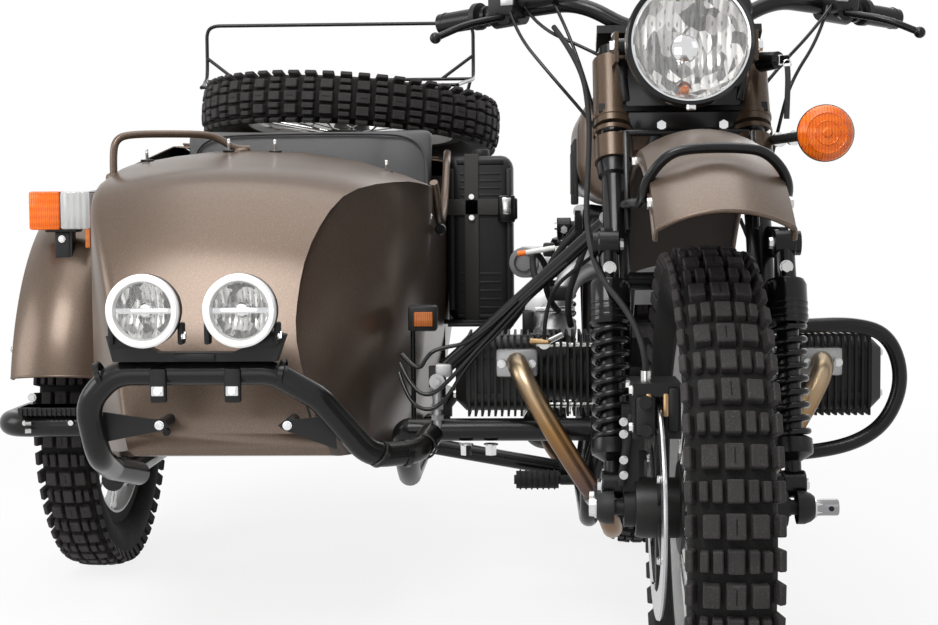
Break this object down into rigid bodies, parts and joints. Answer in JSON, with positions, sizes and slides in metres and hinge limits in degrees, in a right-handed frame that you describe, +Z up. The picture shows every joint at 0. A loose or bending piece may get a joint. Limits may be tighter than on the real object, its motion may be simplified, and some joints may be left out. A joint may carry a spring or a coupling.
{
  "type": "sidecar motorcycle",
  "caption": "Flat-twin motorcycle with a leading-link fork and a sidecar on its right: steering, free-turning wheels, open cockpit, and a boot lid that carries the spare wheel and rack.",
  "frame": {"origin": "on the ground, under the middle of the whole outfit's box", "axes": "+X to the rider's left, +Y to the rear, +Z up; the sidecar is on the -X side"},
  "size_m": [1.612, 2.4049, 1.2045],
  "materials": {
    "amber_gloss_plastic": "gloss",
    "black_aluminium": "satin",
    "black_painted_metal": "satin paint",
    "bronze_painted_metal": "satin paint",
    "clear_glass": "clear",
    "dark_gloss_plastic": "gloss",
    "dark_leather": "grained vinyl",
    "dark_matte_plastic": "matt",
    "dark_rubber": "matt",
    "dark_tyre": "matt",
    "grey_aluminium": "satin",
    "silver_aluminium": "satin",
    "steel_brushed_steel": "heat-tinted"
  },
  "bodies": {
    "chassis": {"frame": "black_painted_metal", "engine_block": "black_aluminium", "cylinders": "black_painted_metal", "intake": "grey_aluminium", "exhausts": "steel_brushed_steel", "fuel_tank": "bronze_painted_metal", "seat": "dark_leather", "rear_fender": "bronze_painted_metal", "swingarm": "black_painted_metal", "rear_shocks": "black_painted_metal", "crash_bar": "black_painted_metal", "footpegs": "dark_rubber", "sidecar_body": "bronze_painted_metal", "sidecar_seat": "dark_leather", "grab_rail": "bronze_painted_metal", "sidecar_frame": "black_painted_metal", "sidecar_struts": "black_painted_metal", "sidecar_wheel_arm": "black_painted_metal", "bumpers": "black_painted_metal", "fog_lamps": "dark_gloss_plastic", "sidecar_fender": "bronze_painted_metal", "marker_lamps": "amber_gloss_plastic", "jerry_can": "dark_matte_plastic", "can_carrier": "black_painted_metal"},
    "fork": {"fork": "black_painted_metal", "fork_shrouds": "bronze_painted_metal", "headlamp": "bronze_painted_metal", "headlamp_lens": "clear_glass", "handlebar": "black_painted_metal", "bar_controls": "dark_matte_plastic", "front_fender": "bronze_painted_metal", "fender_hoop": "black_painted_metal", "link_arm": "black_painted_metal", "front_shocks": "black_painted_metal", "front_indicator": "amber_gloss_plastic"},
    "front_wheel": {"front_tyre": "dark_tyre", "front_rim": "silver_aluminium"},
    "rear_wheel": {"rear_tyre": "dark_tyre", "rear_rim": "silver_aluminium"},
    "sidecar_wheel": {"sidecar_tyre": "dark_tyre", "sidecar_rim": "silver_aluminium"},
    "boot_lid": {"boot_lid": "bronze_painted_metal", "spare_tyre": "dark_tyre", "spare_rim": "silver_aluminium", "luggage_rack": "black_painted_metal"}
  },
  "joints": [
    {"name": "steering", "type": "hinge", "parent": "chassis", "child": "fork", "pos_m": [0.423, -0.43896, 0.9], "axis": [0, 0.4695, 0.8829], "range_deg": [-35, 35]},
    {"name": "front_wheel_spin", "type": "hinge", "parent": "fork", "child": "front_wheel", "pos_m": [0.423, -0.8575, 0.345], "axis": [1, 0, 0], "continuous": true},
    {"name": "rear_wheel_spin", "type": "hinge", "parent": "chassis", "child": "rear_wheel", "pos_m": [0.423, 0.6425, 0.345], "axis": [1, 0, 0], "continuous": true},
    {"name": "sidecar_wheel_spin", "type": "hinge", "parent": "chassis", "child": "sidecar_wheel", "pos_m": [-0.697, 0.4125, 0.345], "axis": [1, 0, 0], "continuous": true},
    {"name": "boot_lid_hinge", "type": "hinge", "parent": "chassis", "child": "boot_lid", "pos_m": [-0.28256, 1.17771, 0.81321], "axis": [-0.998, 0, 0.0628], "range_deg": [0, 70]}
  ]
}
